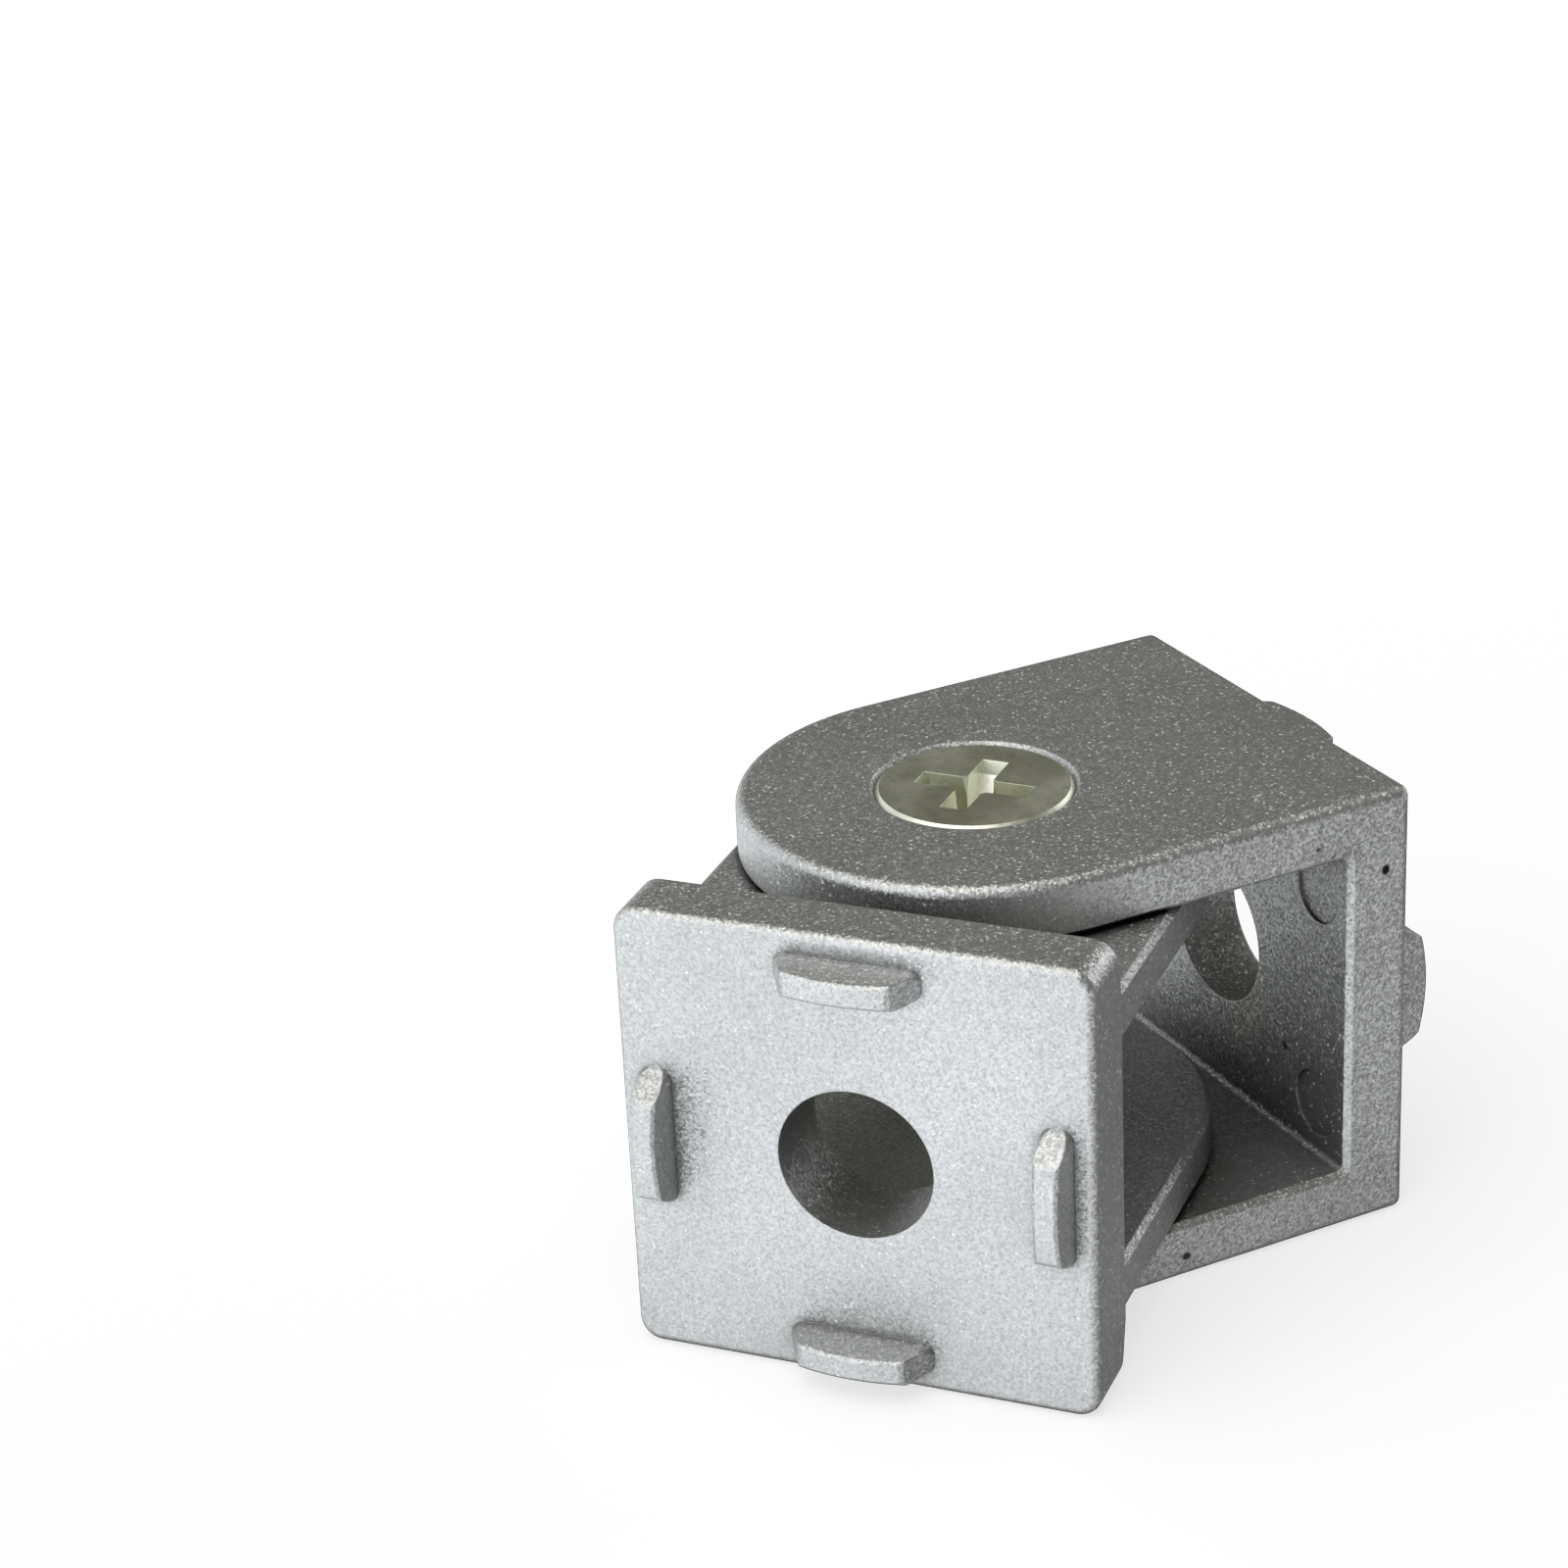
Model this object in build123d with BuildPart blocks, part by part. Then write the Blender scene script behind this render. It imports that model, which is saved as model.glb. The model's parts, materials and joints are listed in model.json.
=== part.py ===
# Profile pivot joint: two nesting clevises on one countersunk pivot screw.
# Millimetres. +Z runs along the pivot axis towards the screw head. The origin is the centre of the
# outer clevis's end plate, on its outer face; +X is that plate's outward normal.
from build123d import *
import os

os.makedirs("parts", exist_ok=True)

# --- shared clevis sizes ---
width = 20.0                      # side of the square profile section the plates cover
half = width / 2
pivot_to_face = 15.0              # pivot axis to each end plate's outer face
rest_heading = -139.1             # direction of the inner clevis at rest, degrees about the pivot
bolt_hole_r = 3.3                 # clearance hole for the end bolt
edge_r = 0.45                     # rounding of the long outer edges
face_r = 0.4                      # rounding round the plate's outer face
rim = 0.25                        # broken edge of the ears' inner rims
near = 0.3                        # how close an edge lies to the level it is picked by

# --- outer clevis ---
outer_plate_t = 3.0
outer_ear_t = 2.6
outer_root_r = 0.3                # fillet where an outer ear meets its plate

# --- inner clevis ---
ear_gap = 0.1                     # side clearance between an inner and an outer ear
inner_ear_t = 2.3
inner_plate_t = 4.0               # plate thickness between the ears
shelf_root_t = 3.5                # plate thickness just outside the ears
shelf_edge_t = 2.9                # plate thickness at the two thinned edges
plate_corner_r = 1.0
inner_ear_r = 9.8                 # the inner ears stand a little inside the plate's side edges
inner_root_r = 0.5                # fillet where an inner ear meets its plate

# --- lugs that key into the profile's slots ---
lug_count = 4
lug_length = 6.2
lug_width = 1.4
lug_end_r = 0.6                   # plan rounding of a lug's foot
lug_height = 1.8                  # at the middle of the crown
lug_shoulder = 1.5                # height where the crown meets the sloping ends
lug_crown = 4.4                   # length of the crown
lug_inset = 1.55                  # plate edge to the lug's centre line
lug_crest_length = 5.4
lug_crest_width = 1.0
lug_crest_end_r = 0.45
lug_rim = 0.12                    # broken edge along a lug's crown

# --- ejector pin marks on the plates' inner faces ---
pin_mark_r = 1.5
pin_mark_depth = 0.12
outer_mark_y = 7.7
outer_mark_z = 5.1
inner_mark_y = 7.9
inner_mark_z = 2.8

# --- pivot screw and slotted sleeve nut ---
shank_r = 2.5
pivot_clear = 0.05                # running clearance of the inner ears on the shank and the sleeve
screw_hole_clear = 0.1
head_r = 4.2
head_rim = 0.18                   # broken edge above the head's cone
head_sink = 0.03                  # head face below the ear's face
sink_angle = 90.0
tip_inset = 1.9                   # screw end short of the nut's outer face
tip_chamfer = 0.5
recess_span = 5.0
recess_foot = 2.2
recess_depth = 2.4
recess_tip_depth = 0.6            # depth of the steep wall at a wing's tip
recess_tip_draw = 0.15
recess_wing = 1.15
recess_core_r = 0.95
recess_core_foot_r = 0.6
recess_turn = 39.0                # one wing's direction, degrees from +X
sleeve_r = 3.2
sleeve_back = 0.2                 # sleeve end short of the inner ear's inner face
thread_fit = 0.02                 # nut bore beyond the screw's crest
driver_slot_w = 1.2
driver_slot_depth = 1.1

# --- derived ---
outer_gap = half - outer_ear_t                        # half distance between the outer ears
inner_out = outer_gap - ear_gap                       # half distance over the inner ears
inner_in = inner_out - inner_ear_t                    # half distance between the inner ears
sink_r = head_r + head_rim + head_sink                # countersink radius at the ear's face
sleeve_hole_r = sleeve_r + pivot_clear
head_face = half - head_sink
screw_end = tip_inset - head_face
pivot = (-pivot_to_face, 0, 0)
overcut = 1.0                                         # how far cutters run past a face
outer_inner_face = pivot_to_face - outer_plate_t      # pivot axis to the outer plate's inner face
inner_inner_face = pivot_to_face - inner_plate_t      # pivot axis to the inner plate's inner face

# Working planes: "side" planes hold the XZ section, "face" planes lie on a plate's outer face.
outer_pivot = Plane(origin=pivot, x_dir=(1, 0, 0), z_dir=(0, 0, 1))
inner_pivot = outer_pivot.rotated((0, 0, rest_heading))


def section_plane(base):
    """The plane through the pivot axis and the middle of the clevis whose pivot plane is base."""
    return Plane(origin=base.origin, x_dir=base.x_dir, z_dir=-base.y_dir)


def plate_plane(base, height):
    """The plane parallel to the end plate, at a height from the pivot, facing outwards."""
    return Plane(origin=base.origin + base.x_dir * height, x_dir=base.y_dir, z_dir=base.x_dir)


# Lug: a low tapered key that stands on an end plate's outer face, its length across the local X.
with BuildPart() as lug:
    with BuildSketch():
        RectangleRounded(lug_width, lug_length, lug_end_r)
    with BuildSketch(Plane.XY.offset(lug_height)):
        RectangleRounded(lug_crest_width, lug_crest_length, lug_crest_end_r)
    loft()
    with BuildSketch(Plane.YZ):
        with BuildLine():
            crown = ThreePointArc(
                (-lug_crown / 2, lug_shoulder),
                (0, lug_height),
                (lug_crown / 2, lug_shoulder),
            )
            Polyline(crown @ 1, (lug_length / 2, 0), (-lug_length / 2, 0), crown @ 0)
        make_face()
    extrude(amount=lug_width, both=True, mode=Mode.INTERSECT)
    chamfer(lug.faces().filter_by(GeomType.CYLINDER).sort_by(Axis.Z)[-1].edges(), length=lug_rim)

# Outer clevis: a C-shaped section with its ears flush with the plate's edges, cut to full-round ears.
with BuildPart() as outer_clevis:
    with BuildSketch(section_plane(outer_pivot)) as outer_section:
        with BuildLine():
            Polyline(
                (pivot_to_face, -half),
                (pivot_to_face, half),
                (-half, half),
                (-half, outer_gap),
                (outer_inner_face, outer_gap),
                (outer_inner_face, -outer_gap),
                (-half, -outer_gap),
                (-half, -half),
                close=True,
            )
        make_face()
        fillet(outer_section.vertices().group_by(Axis.X)[1], radius=outer_root_r)
    extrude(amount=half, both=True)
    with BuildSketch(outer_pivot.offset(-half)):
        Circle(half)
        with Locations((pivot_to_face / 2, 0)):
            Rectangle(pivot_to_face, width)
    extrude(amount=width, mode=Mode.INTERSECT)
    outer_rims = outer_clevis.edges().filter_by(
        lambda e: abs(e.center().Z) > half - near and e.center().X < -near
    )
    fillet(outer_rims, radius=edge_r)
    fillet(outer_clevis.faces().sort_by(Axis.X)[-1].edges(), radius=face_r)
    inner_rims = outer_clevis.edges().filter_by(
        lambda e: abs(e.center().Z) < outer_gap + near
        and e.center().X < outer_inner_face - pivot_to_face + near
    )
    chamfer(inner_rims.filter_by(Axis.Y, reverse=True), length=rim)

    with BuildSketch(plate_plane(outer_pivot, pivot_to_face)):
        Circle(bolt_hole_r)
    extrude(amount=-outer_plate_t - overcut, mode=Mode.SUBTRACT)
    with BuildSketch(plate_plane(outer_pivot, outer_inner_face)):
        with GridLocations(2 * outer_mark_y, 2 * outer_mark_z, 2, 2):
            Circle(pin_mark_r)
    extrude(amount=pin_mark_depth, mode=Mode.SUBTRACT)

    with Locations(plate_plane(outer_pivot, pivot_to_face)):
        with PolarLocations(half - lug_inset, lug_count):
            add(lug.part)

    with Locations(outer_pivot.offset(half)):
        CounterSinkHole(
            radius=shank_r + screw_hole_clear,
            counter_sink_radius=sink_r,
            depth=outer_ear_t + overcut,
            counter_sink_angle=sink_angle,
        )
    with Locations(Plane(origin=(-pivot_to_face, 0, -half), x_dir=(1, 0, 0), z_dir=(0, 0, -1))):
        CounterSinkHole(
            radius=sleeve_hole_r,
            counter_sink_radius=sink_r,
            depth=outer_ear_t + overcut,
            counter_sink_angle=sink_angle,
        )
outer_clevis.part.label = "outer_clevis"
export_step(outer_clevis.part, "parts/outer_clevis.step")

# Inner clevis: the plate thins outside the ears, which nest between the outer ones.
with BuildPart() as inner_clevis:
    with BuildSketch(section_plane(inner_pivot)) as inner_section:
        with BuildLine():
            Polyline(
                (pivot_to_face, -half),
                (pivot_to_face, half),
                (pivot_to_face - shelf_edge_t, half),
                (pivot_to_face - shelf_root_t, inner_out),
                (-half, inner_out),
                (-half, inner_in),
                (inner_inner_face, inner_in),
                (inner_inner_face, -inner_in),
                (-half, -inner_in),
                (-half, -inner_out),
                (pivot_to_face - shelf_root_t, -inner_out),
                (pivot_to_face - shelf_edge_t, -half),
                close=True,
            )
        make_face()
        root_corners = inner_section.vertices().filter_by(
            lambda v: abs(v.Z) < inner_out + near
            and inner_inner_face - near
            < inner_pivot.to_local_coords(v.center()).X
            < pivot_to_face - shelf_root_t + near
        )
        fillet(root_corners, radius=inner_root_r)
    extrude(amount=half, both=True)
    with BuildSketch(inner_pivot.offset(-half)):
        Circle(inner_ear_r)
        with Locations((pivot_to_face / 2, 0)):
            Rectangle(pivot_to_face, 2 * inner_ear_r)
        with Locations((pivot_to_face - shelf_root_t / 2, 0)):
            Rectangle(shelf_root_t, width)
    extrude(amount=width, mode=Mode.INTERSECT)
    outward = Axis(pivot, inner_pivot.x_dir)
    plate_corners = inner_clevis.edges().filter_by(outward).filter_by(
        lambda e: abs(e.center().Z) > half - near
    )
    fillet(plate_corners, radius=plate_corner_r)
    plate_face = inner_clevis.faces().sort_by(outward)[-1]
    fillet(plate_face.edges(), radius=face_r)
    ear_edges = inner_clevis.edges().filter_by(
        lambda e: inner_pivot.to_local_coords(e.center()).X < inner_inner_face - inner_root_r
    )
    chamfer(ear_edges.filter_by(GeomType.CIRCLE) + ear_edges.filter_by(outward), length=rim)

    with BuildSketch(plate_plane(inner_pivot, pivot_to_face)):
        Circle(bolt_hole_r)
    extrude(amount=-inner_plate_t - overcut, mode=Mode.SUBTRACT)
    with BuildSketch(plate_plane(inner_pivot, inner_inner_face)):
        with GridLocations(2 * inner_mark_y, 2 * inner_mark_z, 2, 2):
            Circle(pin_mark_r)
    extrude(amount=pin_mark_depth, mode=Mode.SUBTRACT)

    with Locations(plate_plane(inner_pivot, pivot_to_face)):
        with PolarLocations(half - lug_inset, lug_count):
            add(lug.part)

    with BuildSketch(inner_pivot):
        Circle(shank_r + pivot_clear)
    extrude(amount=half, mode=Mode.SUBTRACT)
    with BuildSketch(inner_pivot):
        Circle(sleeve_hole_r)
    extrude(amount=-half, mode=Mode.SUBTRACT)
inner_clevis.part.label = "inner_clevis"
export_step(inner_clevis.part, "parts/inner_clevis.step")

# Pivot screw: countersunk head with a cross recess, seated on the upper ear's countersink.
with BuildPart() as pivot_screw:
    with BuildSketch(section_plane(outer_pivot)):
        with BuildLine():
            Polyline(
                (0, head_face),
                (head_r - head_rim, head_face),
                (head_r, head_face - head_rim),
                (shank_r, head_face - head_rim - (head_r - shank_r)),
                (shank_r, screw_end + tip_chamfer),
                (shank_r - tip_chamfer, screw_end),
                (0, screw_end),
                close=True,
            )
        make_face()
    revolve(axis=Axis(pivot, (0, 0, 1)))
    for wing_angle in (recess_turn, recess_turn + 90):
        with BuildSketch(section_plane(outer_pivot.rotated((0, 0, wing_angle)))):
            with BuildLine():
                Polyline(
                    (-recess_span / 2, head_face),
                    (recess_span / 2, head_face),
                    (recess_span / 2 - recess_tip_draw, head_face - recess_tip_depth),
                    (recess_foot / 2, head_face - recess_depth),
                    (-recess_foot / 2, head_face - recess_depth),
                    (recess_tip_draw - recess_span / 2, head_face - recess_tip_depth),
                    close=True,
                )
            make_face()
        extrude(amount=recess_wing / 2, both=True, mode=Mode.SUBTRACT)
    with BuildSketch(outer_pivot.offset(head_face)):
        Circle(recess_core_r)
    with BuildSketch(outer_pivot.offset(head_face - recess_depth)):
        Circle(recess_core_foot_r)
    loft(mode=Mode.SUBTRACT)
pivot_screw.part.label = "pivot_screw"
export_step(pivot_screw.part, "parts/pivot_screw.step")

# Sleeve nut: slotted countersunk nut whose short sleeve fills the two lower ears.
with BuildPart() as sleeve_nut:
    with BuildSketch(section_plane(outer_pivot)):
        with BuildLine():
            Polyline(
                (shank_r + thread_fit, -head_face),
                (head_r - head_rim, -head_face),
                (head_r, -head_face + head_rim),
                (sleeve_r, -head_face + head_rim + (head_r - sleeve_r)),
                (sleeve_r, -inner_in - sleeve_back),
                (shank_r + thread_fit, -inner_in - sleeve_back),
                close=True,
            )
        make_face()
    revolve(axis=Axis(pivot, (0, 0, 1)))
    with BuildSketch(outer_pivot.offset(-head_face)):
        Rectangle(driver_slot_w, width)
    extrude(amount=driver_slot_depth, mode=Mode.SUBTRACT)
sleeve_nut.part.label = "sleeve_nut"
export_step(sleeve_nut.part, "parts/sleeve_nut.step")
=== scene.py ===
import bpy
import bmesh
import json
import math
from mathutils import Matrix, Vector


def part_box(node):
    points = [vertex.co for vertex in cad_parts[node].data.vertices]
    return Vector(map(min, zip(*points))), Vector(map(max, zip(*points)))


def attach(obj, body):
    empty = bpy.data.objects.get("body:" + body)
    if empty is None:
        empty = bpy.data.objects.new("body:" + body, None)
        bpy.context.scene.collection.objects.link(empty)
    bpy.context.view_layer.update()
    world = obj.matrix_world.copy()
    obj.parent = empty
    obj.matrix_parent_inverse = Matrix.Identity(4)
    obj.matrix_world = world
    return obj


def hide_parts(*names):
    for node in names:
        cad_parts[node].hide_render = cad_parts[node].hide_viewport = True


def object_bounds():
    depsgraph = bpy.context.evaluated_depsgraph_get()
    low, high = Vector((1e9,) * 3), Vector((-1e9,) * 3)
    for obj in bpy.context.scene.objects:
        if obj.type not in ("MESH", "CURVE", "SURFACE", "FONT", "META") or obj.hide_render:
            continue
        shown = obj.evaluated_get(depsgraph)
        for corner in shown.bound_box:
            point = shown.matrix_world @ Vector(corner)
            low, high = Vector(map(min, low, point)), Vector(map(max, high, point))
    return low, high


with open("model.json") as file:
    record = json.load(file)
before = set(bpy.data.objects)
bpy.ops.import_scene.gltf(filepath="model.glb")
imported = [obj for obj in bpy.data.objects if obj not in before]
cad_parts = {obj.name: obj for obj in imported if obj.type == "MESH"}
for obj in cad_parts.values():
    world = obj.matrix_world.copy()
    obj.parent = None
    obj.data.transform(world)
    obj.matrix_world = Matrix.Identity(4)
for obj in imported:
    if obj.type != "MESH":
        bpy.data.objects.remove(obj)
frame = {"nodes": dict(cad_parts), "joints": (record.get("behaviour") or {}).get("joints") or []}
cad_low, cad_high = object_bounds()
pieces = frame["nodes"]
screw_low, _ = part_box("pivot_screw")
MM = 0.001

# ---------- sizes ----------
PIVOT_X = frame["joints"][0]["pos_m"][0]
CREST_R = 2.5 * MM
ROOT_R = 2.04 * MM
PITCH = 0.8 * MM
CREST_EASE = 0.03 * MM      # how far the crest's edges are eased down
TIP_R = CREST_R - 0.5 * MM  # both ends of the thread are chamfered to this
HEAD_CUT = 7.45 * MM        # below the recess, inside the upper ear
HEAD_LAP = 0.02 * MM        # how far the thread reaches into the head
STEPS = 72                  # facets round the thread
WELD = 1e-7                 # vertices closer than this become one
SHARP_ANGLE = math.radians(18)
CASTING_EDGE = 0.10 * MM    # shading radius of a casting's edges
PLATED_EDGE = 0.03 * MM
SHADER_SAMPLES = 4
FLOOR_GAP = 0.02 * MM

# ---------- colours ----------
COAT_DARK = (0.60, 0.61, 0.61, 1)
COAT_LIGHT = (0.66, 0.675, 0.68, 1)
COAT_FLECK = (0.36, 0.37, 0.37, 1)
# Painted highlight: near-white for the few flakes that stand in for glints.
PAINTED_GLINT_WHITE = (0.90, 0.90, 0.89, 1)
PIT = (0.05, 0.05, 0.05, 1)
PORE = (0.015, 0.014, 0.012, 1)
# Painted shade for hollows and seams, laid on by the occlusion masks.
PAINTED_HOLLOW_SHADE = (0.065, 0.063, 0.047, 1)
PAINTED_SEAM_SHADE = (0.04, 0.04, 0.035, 1)
BEIGE = (0.86, 0.80, 0.60, 1)
BROWN = (0.20, 0.18, 0.14, 1)
PLATING_DARK = (0.80, 0.81, 0.68, 1)
PLATING_LIGHT = (0.87, 0.88, 0.77, 1)
PLATING_FLECK = (0.42, 0.42, 0.38, 1)
FLOOR = (0.86, 0.86, 0.86, 1)
WHITE = (1, 1, 1, 1)
STUDIO_LEFT_ABOVE = (1.29, 1.32, 1.37, 1)
STUDIO_LEFT_BELOW = (2.00, 2.05, 2.11, 1)
STUDIO_ABOVE = (0.122, 0.120, 0.098, 1)
STUDIO_BELOW = (1.05, 1.06, 1.05, 1)
STUDIO_RIGHT_BELOW = (0.26, 0.26, 0.25, 1)

# ---------- blemishes, in millimetres ----------
# A pore is its place and radius; a stain, or a patch of painted light, is its place, radius and colour.
OUTER_PORES = (((-1.2, -10.0, 6.5), 0.22), ((-11.0, -10.0, -9.0), 0.20), ((-4.6, -9.9, 8.3), 0.10))
# The beige patch in the lower wall of the plate's hole is partly a warm tint and partly painted light.
OUTER_STAINS_AND_PAINTED_LIGHT = (((-2.0, -1.6, -3.0), 3.0, BEIGE), ((-3.6, -9.4, 7.4), 1.6, BROWN))
INNER_PORES = (((-26.4, -9.7, -9.9), 0.14),)
INNER_STAINS = (((-24.0, -7.0, -5.0), 2.0, BROWN),)


# ---------- shader nodes ----------
def new_material(name):
    mat = bpy.data.materials.new(name)
    mat.use_nodes = True
    nt = mat.node_tree
    nt.nodes.clear()
    return mat, nt


def feed(nt, socket, value):
    """Links the socket to a node's output, or gives it a plain value."""
    if isinstance(value, bpy.types.NodeSocket):
        nt.links.new(value, socket)
    else:
        socket.default_value = value


def node(nt, kind, **inputs):
    """Adds a node; an underscore in an input's name stands for a space."""
    n = nt.nodes.new(kind)
    for key, value in inputs.items():
        feed(nt, n.inputs[key.replace("_", " ")], value)
    return n


def mapping(nt, coords, **change):
    return node(nt, "ShaderNodeMapping", Vector=coords, **change).outputs["Vector"]


def noise(nt, coords, scale, detail=3.0, roughness=0.6):
    n = node(nt, "ShaderNodeTexNoise", Vector=coords, Scale=scale, Detail=detail, Roughness=roughness)
    return n.outputs["Fac"]


def channels(nt, colour):
    return node(nt, "ShaderNodeSeparateColor", Color=colour).outputs


def ramp(nt, value, low, high, start=0.0, end=1.0):
    """Maps low to start and high to end, and holds those values beyond them."""
    n = node(nt, "ShaderNodeMapRange", Value=value, From_Min=low, From_Max=high,
             To_Min=start, To_Max=end)
    return n.outputs["Result"]


def mix_colour(nt, factor, a, b):
    n = nt.nodes.new("ShaderNodeMix")
    n.data_type = "RGBA"
    for index, value in ((0, factor), (6, a), (7, b)):
        feed(nt, n.inputs[index], value)
    return n.outputs[2]


def operate(nt, kind, operation, *values):
    n = nt.nodes.new(kind)
    n.operation = operation
    for socket, value in zip(n.inputs, values):
        feed(nt, socket, value)
    return n


def maths(nt, operation, *values):
    return operate(nt, "ShaderNodeMath", operation, *values).outputs[0]


def vector_maths(nt, operation, *vectors):
    return operate(nt, "ShaderNodeVectorMath", operation, *vectors).outputs["Vector"]


def scaled(nt, vector, factor):
    n = operate(nt, "ShaderNodeVectorMath", "SCALE", vector)
    feed(nt, n.inputs["Scale"], factor)
    return n.outputs["Vector"]


def distance(nt, here, place):
    n = operate(nt, "ShaderNodeVectorMath", "DISTANCE", here, [c * MM for c in place])
    return n.outputs["Value"]


def openness(nt, reach):
    """0 in a deep hollow, 1 in the open, looking no further than reach."""
    n = node(nt, "ShaderNodeAmbientOcclusion", Distance=reach)
    n.samples = SHADER_SAMPLES
    return n.outputs["AO"]


def soft_edges(nt, radius):
    n = node(nt, "ShaderNodeBevel", Radius=radius)
    n.samples = SHADER_SAMPLES
    return n.outputs["Normal"]


def bump(nt, height, normal, depth, strength):
    n = node(nt, "ShaderNodeBump", Height=height, Distance=depth, Strength=strength, Normal=normal)
    return n.outputs["Normal"]


def finish_material(nt, base, metallic, roughness, normal):
    surface = node(nt, "ShaderNodeBsdfPrincipled", Base_Color=base, Metallic=metallic,
                   Roughness=roughness, Normal=normal)
    node(nt, "ShaderNodeOutputMaterial", Surface=surface.outputs[0])


# ---------- materials ----------
def casting_material(name, seed, pores, stains_and_painted_light):
    """Silver sparkle coat over a blasted zinc casting; the seed shifts its pattern."""
    mat, nt = new_material(name)
    here = nt.nodes.new("ShaderNodeTexCoord").outputs["Object"]
    at = mapping(nt, here, Location=(seed, seed * 0.7, seed * 1.3))
    cloud = noise(nt, at, scale=160.0)
    grain = noise(nt, at, scale=7000.0, roughness=0.7)
    orange_peel = noise(nt, at, scale=1100.0, detail=2.0, roughness=0.5)

    # Each cell is a flake with its own tone and lean; a few are painted near-white as glints, a painted
    # highlight that shows under any lamp.
    flakes = node(nt, "ShaderNodeTexVoronoi", Vector=at, Scale=10500.0).outputs["Color"]
    flake = channels(nt, flakes)
    painted_glint = ramp(nt, flake[0], 0.965, 0.985)

    # A few cells of a coarser pattern have a small pit at their middle.
    cells = node(nt, "ShaderNodeTexVoronoi", Vector=at, Scale=260.0)
    rare = ramp(nt, channels(nt, cells.outputs["Color"])[1], 0.93, 0.95)
    spot = ramp(nt, cells.outputs["Distance"], 0.03, 0.07, start=1.0, end=0.0)
    pit = maths(nt, "MULTIPLY", rare, spot)

    base = mix_colour(nt, ramp(nt, cloud, 0.35, 0.65), COAT_DARK, COAT_LIGHT)
    base = mix_colour(nt, ramp(nt, flake[2], 0.0, 1.0, end=0.42), base, COAT_FLECK)
    base = mix_colour(nt, ramp(nt, grain, 0.45, 0.62, end=0.5), base, COAT_FLECK)
    # Painted highlight: the glint cells turn near-white.
    base = mix_colour(nt, painted_glint, base, PAINTED_GLINT_WHITE)
    base = mix_colour(nt, pit, base, PIT)
    for place, radius in pores:
        ragged = maths(nt, "MULTIPLY_ADD", orange_peel, 0.3 * MM, distance(nt, here, place))
        hole = ramp(nt, ragged, (radius + 0.10) * MM, (radius + 0.20) * MM, start=1.0, end=0.0)
        base = mix_colour(nt, hole, base, PORE)
    # Stains; the beige patch in the outer plate's hole is partly painted light.
    for place, radius, colour in stains_and_painted_light:
        fade = ramp(nt, distance(nt, here, place), 0.0, radius * MM, start=0.8, end=0.0)
        blot = maths(nt, "MULTIPLY", fade, ramp(nt, cloud, 0.35, 0.6, start=0.2))
        base = mix_colour(nt, blot, base, colour)

    # Painted shade: darker where the ears close round a hollow, and darker still in the seams.
    painted_hollow_shade = ramp(nt, openness(nt, 16 * MM), 0.10, 0.62, start=0.91, end=0.0)
    base = mix_colour(nt, painted_hollow_shade, base, PAINTED_HOLLOW_SHADE)
    # Painted shade in the narrow seams and gaps, darkest where they are tightest.
    painted_seam_shade = ramp(nt, openness(nt, 0.5 * MM), 0.40, 0.85, start=0.92, end=0.0)
    base = mix_colour(nt, painted_seam_shade, base, PAINTED_SEAM_SHADE)

    normal = bump(nt, orange_peel, soft_edges(nt, CASTING_EDGE), depth=0.02 * MM, strength=0.25)
    normal = bump(nt, grain, normal, depth=0.02 * MM, strength=0.9)
    lean = vector_maths(nt, "SUBTRACT", flakes, (0.5, 0.5, 0.5))
    tilt = scaled(nt, lean, ramp(nt, painted_glint, 0.0, 1.0, start=0.42, end=0.70))
    normal = vector_maths(nt, "NORMALIZE", vector_maths(nt, "ADD", normal, tilt))
    metallic = ramp(nt, painted_glint, 0.0, 1.0, start=0.92, end=0.15)
    roughness = ramp(nt, grain, 0.35, 0.65, start=0.36, end=0.52)
    finish_material(nt, base, metallic, roughness, normal)
    return mat


def plated_material(name, seed):
    """Zinc-plated turned steel: fine streaks and a faint yellow cast."""
    mat, nt = new_material(name)
    here = nt.nodes.new("ShaderNodeTexCoord").outputs["Object"]
    at = mapping(nt, here, Location=(seed, seed * 0.4, seed * 1.9))
    cloud = noise(nt, at, scale=420.0)
    fine = noise(nt, at, scale=2600.0)
    streak = noise(nt, mapping(nt, at, Scale=(4200.0, 4200.0, 9000.0)), scale=1.0)
    base = mix_colour(nt, ramp(nt, cloud, 0.35, 0.65), PLATING_DARK, PLATING_LIGHT)
    base = mix_colour(nt, ramp(nt, fine, 0.55, 0.75, end=0.5), base, PLATING_FLECK)
    normal = bump(nt, streak, soft_edges(nt, PLATED_EDGE), depth=0.01 * MM, strength=0.25)
    normal = bump(nt, fine, normal, depth=0.01 * MM, strength=0.35)
    finish_material(nt, base, 1.0, ramp(nt, cloud, 0.3, 0.7, start=0.34, end=0.46), normal)
    return mat


def dress(obj, mat):
    obj.data.materials.clear()
    obj.data.materials.append(mat)
    for poly in obj.data.polygons:
        poly.material_index = 0


# ---------- threaded screw ----------
def ring_point(radius, turn, z):
    angle = 2 * math.pi * turn
    return (PIVOT_X + radius * math.cos(angle), radius * math.sin(angle), z)


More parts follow.
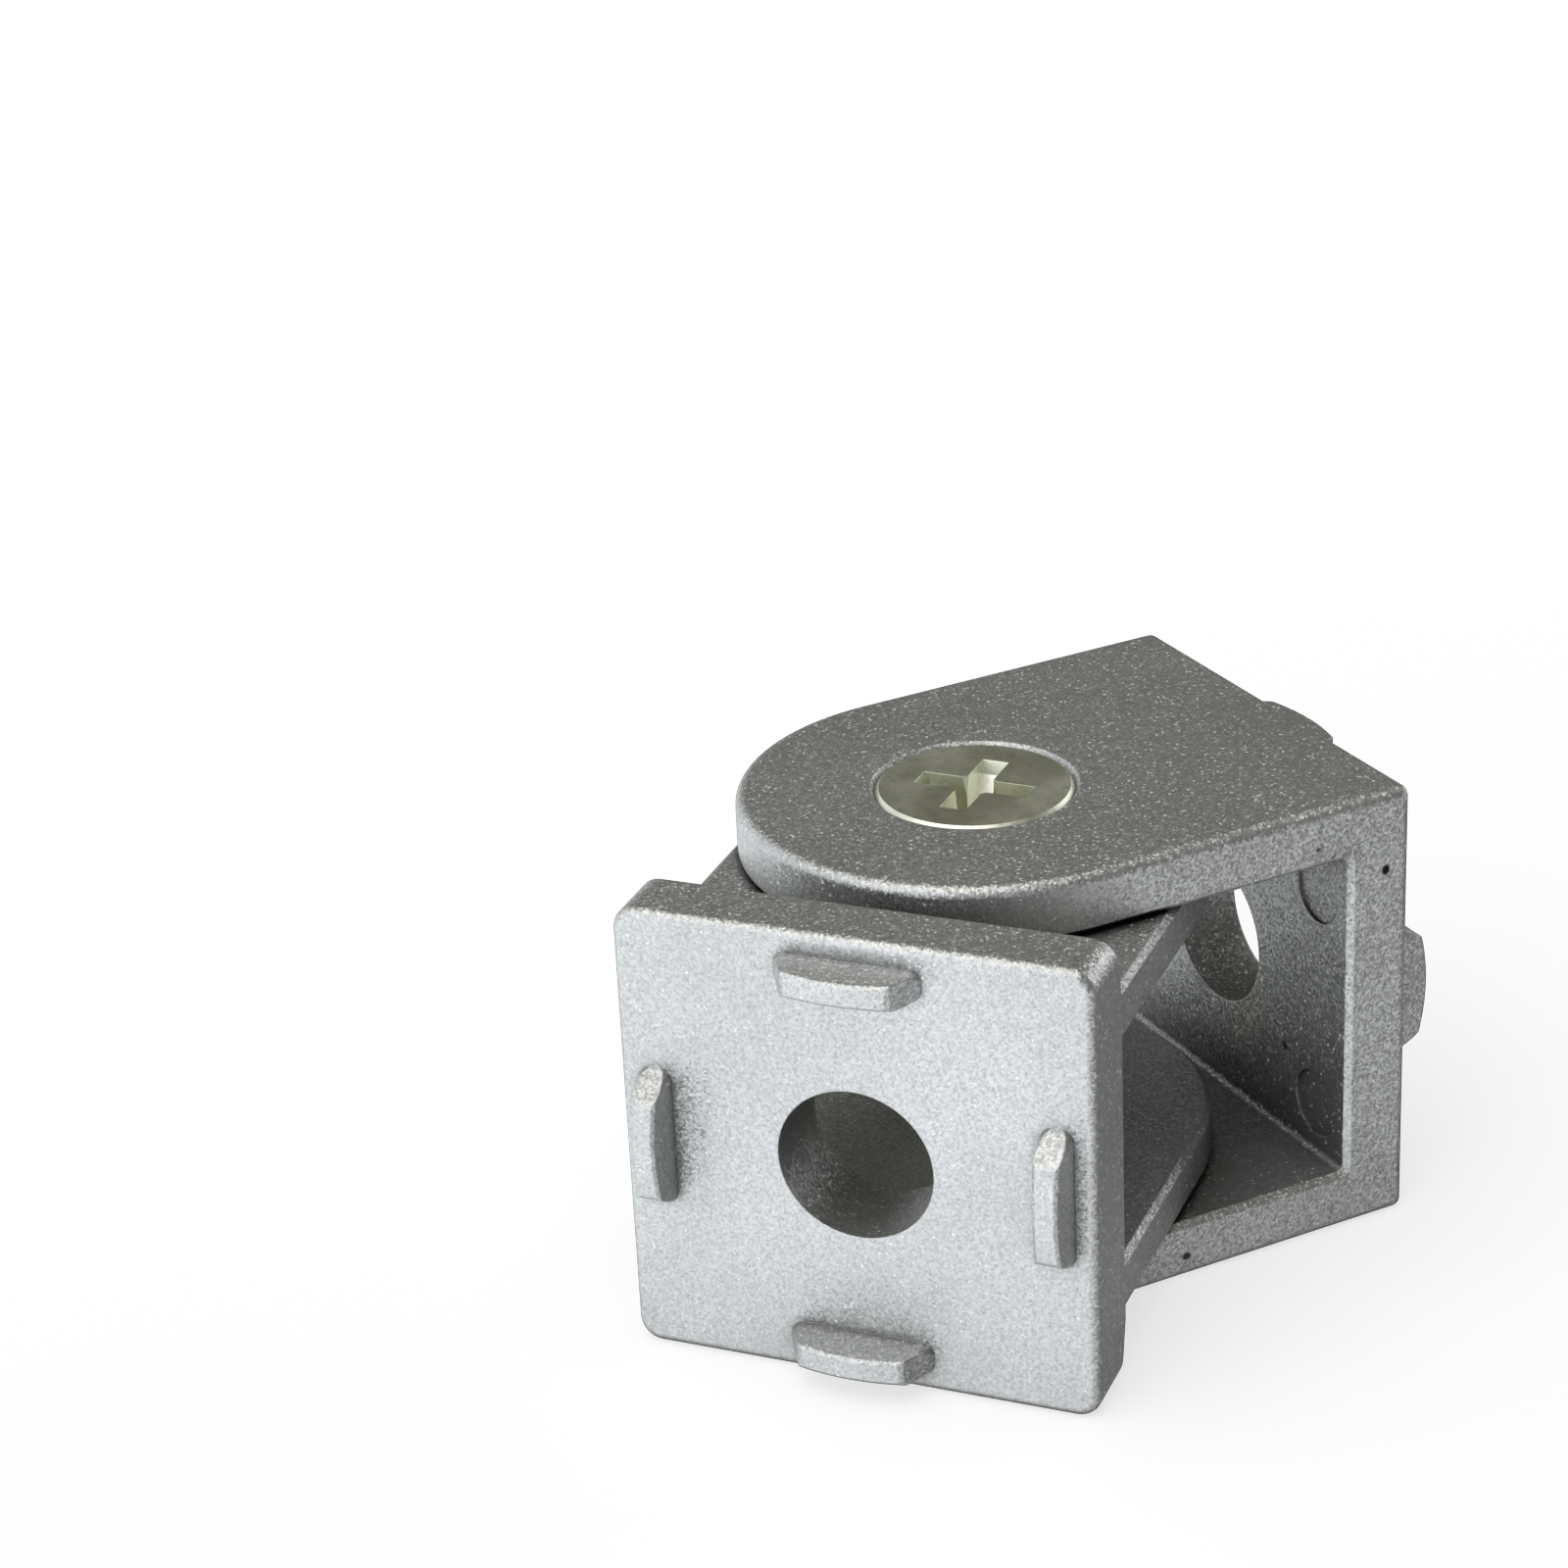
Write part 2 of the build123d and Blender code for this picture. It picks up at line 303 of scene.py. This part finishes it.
def threaded_shank(bm, top, bottom):
    """Adds a helical thread between two heights, closed at both chamfered ends."""
    eased = CREST_R - CREST_EASE
    profile = ((0.0, ROOT_R), (0.08, ROOT_R), (0.42, eased), (0.46, CREST_R), (0.56, CREST_R),
               (0.60, eased), (0.94, ROOT_R))
    turns = int((top - bottom) / PITCH) + 3
    grid = []
    for k in range(turns):
        for share, radius in profile:
            rise = (k - 1 + share) * PITCH
            ring = []
            for i in range(STEPS + 1):
                turn = i / STEPS
                z = min(max(bottom + rise + turn * PITCH, bottom), top)
                limit = TIP_R + min(z - bottom, top - z)
                ring.append(bm.verts.new(ring_point(min(radius, limit), turn, z)))
            grid.append(ring)
    for low, high in zip(grid, grid[1:]):
        for i in range(STEPS):
            bm.faces.new((low[i], low[i + 1], high[i + 1], high[i]))
    for level in (bottom, top):
        cap = [bm.verts.new(ring_point(TIP_R, i / STEPS, level)) for i in range(STEPS)]
        bm.faces.new(cap if level == top else list(reversed(cap)))


def build_screw():
    """The CAD screw's own head, with a real thread in place of its plain shank."""
    bm = bmesh.new()
    bm.from_mesh(pieces["pivot_screw"].data)
    bmesh.ops.remove_doubles(bm, verts=bm.verts[:], dist=WELD)
    everything = bm.verts[:] + bm.edges[:] + bm.faces[:]
    cut = bmesh.ops.bisect_plane(bm, geom=everything, plane_co=(0, 0, HEAD_CUT), plane_no=(0, 0, 1),
                                 clear_inner=True)
    rim = [part for part in cut["geom_cut"] if isinstance(part, bmesh.types.BMEdge)]
    bmesh.ops.holes_fill(bm, edges=rim)
    threaded_shank(bm, HEAD_CUT + HEAD_LAP, screw_low.z)
    bmesh.ops.remove_doubles(bm, verts=bm.verts[:], dist=WELD)
    bmesh.ops.dissolve_degenerate(bm, dist=WELD, edges=bm.edges[:])
    mesh = bpy.data.meshes.new("threaded_screw")
    bm.to_mesh(mesh)
    bm.free()
    # The normals stored with the CAD mesh don't fit the new one.
    stale = mesh.attributes.get("custom_normal")
    if stale is not None:
        mesh.attributes.remove(stale)
    obj = bpy.data.objects.new("threaded_screw", mesh)
    bpy.context.scene.collection.objects.link(obj)
    mesh.shade_smooth()
    mesh.set_sharp_from_angle(angle=SHARP_ANGLE)
    return obj


# ---------- the four pieces ----------
dress(pieces["outer_clevis"], casting_material("outer_casting_coat", 0.013, OUTER_PORES, OUTER_STAINS_AND_PAINTED_LIGHT))
dress(pieces["inner_clevis"], casting_material("inner_casting_coat", 0.031, INNER_PORES, INNER_STAINS))
dress(pieces["sleeve_nut"], plated_material("nut_plating", 0.017))

screw = build_screw()
dress(screw, plated_material("screw_plating", 0.007))
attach(screw, "outer_half")
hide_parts("pivot_screw")


# ---------- floor ----------
def build_floor():
    """A floor that catches the shadow and sends no light back to the object."""
    bpy.ops.mesh.primitive_plane_add(size=3.0, location=(0, 0, cad_low.z - FLOOR_GAP))
    obj = bpy.context.object
    obj.name = "floor"
    mat, nt = new_material("floor_white")
    diffuse = node(nt, "ShaderNodeBsdfDiffuse", Color=FLOOR)
    node(nt, "ShaderNodeOutputMaterial", Surface=diffuse.outputs[0])
    obj.data.materials.append(mat)
    obj.is_shadow_catcher = True
    obj.visible_diffuse = False
    obj.visible_glossy = False
    return obj


def lift_floor():
    """A shadowless sun on the floor alone, which keeps the cast shadow faint."""
    only_floor = bpy.data.collections.new("only_floor")
    only_floor.objects.link(floor)
    data = bpy.data.lights.new("floor_lift", "SUN")
    data.energy = 6.0
    data.use_shadow = False
    obj = bpy.data.objects.new("floor_lift", data)
    bpy.context.scene.collection.objects.link(obj)
    obj.light_linking.receiver_collection = only_floor


floor = build_floor()
lift_floor()


# ---------- light ----------
def build_world():
    """A studio that is bright on the left and below and dark elsewhere; the camera sees white."""
    world = bpy.data.worlds.new("studio")
    bpy.context.scene.world = world
    world.use_nodes = True
    nt = world.node_tree
    nt.nodes.clear()
    direction = nt.nodes.new("ShaderNodeTexCoord").outputs["Generated"]
    towards = node(nt, "ShaderNodeSeparateXYZ", Vector=direction).outputs
    height = ramp(nt, towards["Z"], -0.35, 0.10)
    rightness = ramp(nt, towards["X"], 0.40, 0.80)
    leftness = ramp(nt, towards["X"], -0.9, 0.2, start=1.0, end=0.0)
    below = mix_colour(nt, rightness, STUDIO_BELOW, STUDIO_RIGHT_BELOW)
    right = mix_colour(nt, height, below, STUDIO_ABOVE)
    left = mix_colour(nt, height, STUDIO_LEFT_BELOW, STUDIO_LEFT_ABOVE)
    studio = node(nt, "ShaderNodeBackground", Color=mix_colour(nt, leftness, right, left), Strength=0.8)
    white = node(nt, "ShaderNodeBackground", Color=WHITE, Strength=1.0)
    seen = nt.nodes.new("ShaderNodeLightPath").outputs["Is Camera Ray"]
    choose = nt.nodes.new("ShaderNodeMixShader")
    for socket, value in zip(choose.inputs, (seen, studio.outputs[0], white.outputs[0])):
        feed(nt, socket, value)
    node(nt, "ShaderNodeOutputWorld", Surface=choose.outputs[0])


def lamp(name, place, size, power, tint=(1.0, 1.0, 1.0)):
    """A soft rectangular light, in metres and watts, that faces the pivot."""
    data = bpy.data.lights.new(name, "AREA")
    data.shape = "RECTANGLE"
    data.size, data.size_y = size
    data.energy = power
    data.color = tint
    obj = bpy.data.objects.new(name, data)
    bpy.context.scene.collection.objects.link(obj)
    obj.location = place
    aim = Vector((PIVOT_X, 0, 0)) - Vector(place)
    obj.rotation_euler = aim.to_track_quat("-Z", "Y").to_euler()


build_world()
lamp("key_left", (-0.45, -0.16, 0.24), size=(0.45, 0.40), power=0.5)
lamp("overhead", (-0.15, -0.04, 0.60), size=(0.60, 0.60), power=1.9, tint=(1.0, 0.97, 0.88))
lamp("rim_right", (0.45, 0.04, 0.10), size=(0.30, 0.30), power=0.6)
lamp("rim_back", (-0.12, 0.45, 0.10), size=(0.30, 0.30), power=0.15)

# ---------- camera, fitted to the photograph with the sizes held ----------
cam_data = bpy.data.cameras.new("camera")
cam_data.sensor_width = 36.0
cam_data.lens = 91.12
cam_data.clip_start = 0.01
cam = bpy.data.objects.new("camera", cam_data)
bpy.context.scene.collection.objects.link(cam)
cam.location = (-0.08818, -0.13165, 0.07922)
cam.rotation_euler = (math.radians(65.397), math.radians(2.609), math.radians(-27.241))
bpy.context.scene.camera = cam
bpy.context.scene.view_settings.view_transform = "Standard"
